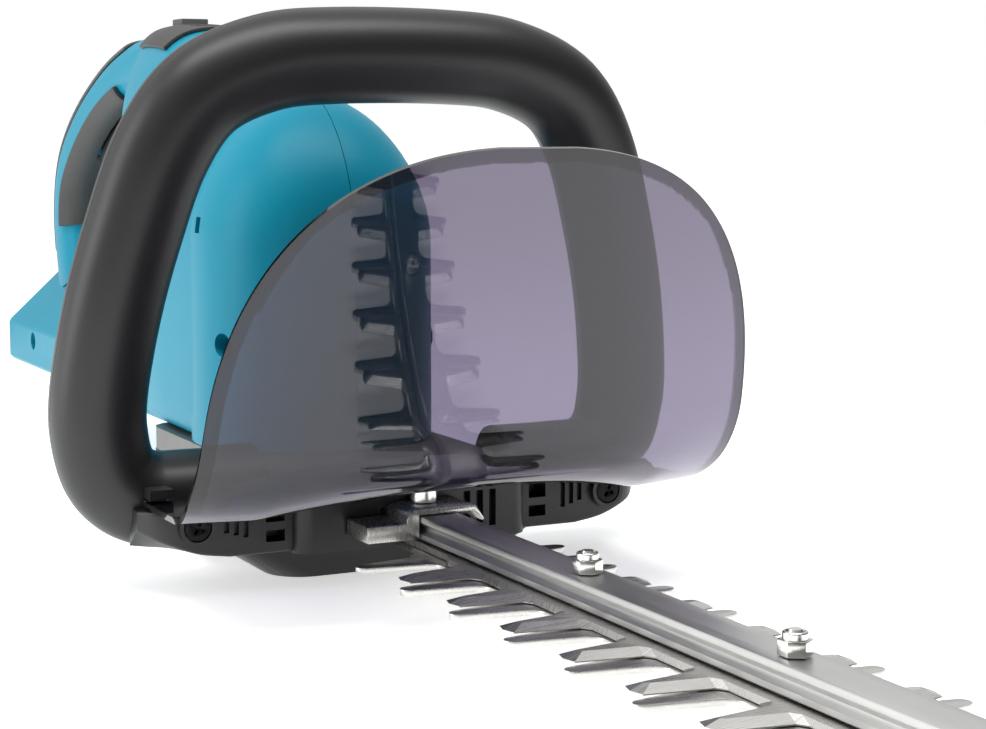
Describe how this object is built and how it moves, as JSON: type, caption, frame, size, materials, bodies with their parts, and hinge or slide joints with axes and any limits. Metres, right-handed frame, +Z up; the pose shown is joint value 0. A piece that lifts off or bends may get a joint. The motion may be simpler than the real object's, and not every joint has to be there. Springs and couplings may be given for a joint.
{
  "type": "hedge trimmer",
  "caption": "cordless hedge trimmer with two sliding tooth blades on a flat bar, clear hand guard, square front loop handle and rear grip with trigger",
  "frame": {"origin": "on the flat bottom of the under cover, straight under the crank axis", "axes": "+X to the right of the user, +Y back towards the rear grip, +Z up out of the flat bottom; the blades point along -Y"},
  "size_m": [0.2362, 0.9795, 0.2015],
  "materials": {
    "blade_steel": "ground and nickel coated, satin",
    "zinc_steel": "bright zinc plate",
    "cast_alloy": "die cast, dull dark grey",
    "core_steel": "laminations and ferrite, dull",
    "copper": "plain copper alloy sheet",
    "teal_nylon": "glass filled nylon, satin teal",
    "black_nylon": "glass filled nylon, fine texture",
    "grey_rubber": "moulded elastomer, matt warm grey",
    "smoke_clear": "clear polycarbonate with a smoke tint"
  },
  "bodies": {
    "body": {"gear_case": "cast_alloy", "gear_case_plate": "cast_alloy", "under_cover": "black_nylon", "guide_bar": "blade_steel", "bar_bracket": "zinc_steel", "bracket_bolt": "zinc_steel", "bracket_nut": "zinc_steel", "bar_bolt_1": "zinc_steel", "bar_bolt_2": "zinc_steel", "bar_bolt_3": "zinc_steel", "bar_bolt_4": "zinc_steel", "bar_bolt_5": "zinc_steel", "bar_nut_1": "zinc_steel", "bar_nut_2": "zinc_steel", "bar_nut_3": "zinc_steel", "bar_nut_4": "zinc_steel", "bar_nut_5": "zinc_steel", "crank_bearing_lower": "blade_steel", "crank_bearing_upper": "blade_steel", "motor_can": "zinc_steel", "motor_end_cap": "black_nylon", "motor_magnet_left": "core_steel", "motor_magnet_right": "core_steel", "motor_bearing_lower": "blade_steel", "motor_bearing_upper": "blade_steel", "controller": "black_nylon", "terminal_block": "black_nylon", "battery_contact_1": "copper", "battery_contact_2": "copper", "battery_contact_3": "copper", "housing_left": "teal_nylon", "housing_right": "teal_nylon", "housing_screw_1": "zinc_steel", "housing_screw_2": "zinc_steel", "housing_screw_3": "zinc_steel", "housing_screw_4": "zinc_steel", "grip_lining": "grey_rubber", "grip_pad": "grey_rubber", "top_panel": "grey_rubber", "trigger_pin": "blade_steel", "trigger_switch": "black_nylon", "loop_handle_front": "black_nylon", "loop_handle_rear": "black_nylon", "handle_screw_left": "zinc_steel", "handle_screw_right": "zinc_steel", "front_switch": "black_nylon", "guard": "smoke_clear"},
    "rotor": {"motor_rotor": "core_steel", "motor_pinion": "blade_steel", "motor_fan": "black_nylon"},
    "crank": {"crank_shaft": "blade_steel", "crank_gear": "blade_steel"},
    "upper_blade_body": {"upper_blade": "blade_steel"},
    "lower_blade_body": {"lower_blade": "blade_steel"},
    "trigger_body": {"trigger": "black_nylon"},
    "lock_off_body": {"lock_off_button": "grey_rubber"},
    "front_lever_body": {"front_switch_lever": "black_nylon"}
  },
  "joints": [
    {"name": "motor_spin", "type": "hinge", "parent": "body", "child": "rotor", "pos_m": [0, 0.03825, 0.06], "axis": [0, 0, 1], "range_deg": [-630.5, 210.5]},
    {"name": "crank_turn", "type": "hinge", "parent": "body", "child": "crank", "pos_m": [0, 0, 0.02], "axis": [0, 0, 1], "range_deg": [-45.2, 135.2]},
    {"name": "upper_blade_slide", "type": "slide", "parent": "body", "child": "upper_blade_body", "axis": [0, 1, 0], "range_m": [-0.0044, 0.01315]},
    {"name": "lower_blade_slide", "type": "slide", "parent": "body", "child": "lower_blade_body", "axis": [0, 1, 0], "range_m": [-0.01312, 0.00438]},
    {"name": "trigger_squeeze", "type": "hinge", "parent": "body", "child": "trigger_body", "pos_m": [0, 0.212, 0.1755], "axis": [1, 0, 0], "range_deg": [0, 8], "stiffness_Nm_per_rad": 0.5, "springref_deg": -8.59},
    {"name": "lock_off_press", "type": "slide", "parent": "body", "child": "lock_off_body", "axis": [0, 0, -1], "range_m": [0, 0.003], "stiffness_N_per_m": 800, "springref_m": -0.002},
    {"name": "front_lever_press", "type": "hinge", "parent": "body", "child": "front_lever_body", "pos_m": [0, -0.0305, 0.1913], "axis": [-1, 0, 0], "range_deg": [0, 5.5], "stiffness_Nm_per_rad": 0.6, "springref_deg": -5.73}
  ],
  "couplings": [
    {"joint": "motor_spin", "follows": "lower_blade_slide", "rad_per_m": 837.76},
    {"joint": "crank_turn", "follows": "lower_blade_slide", "rad_per_m": -179.52},
    {"joint": "upper_blade_slide", "follows": "lower_blade_slide", "ratio": -1}
  ]
}
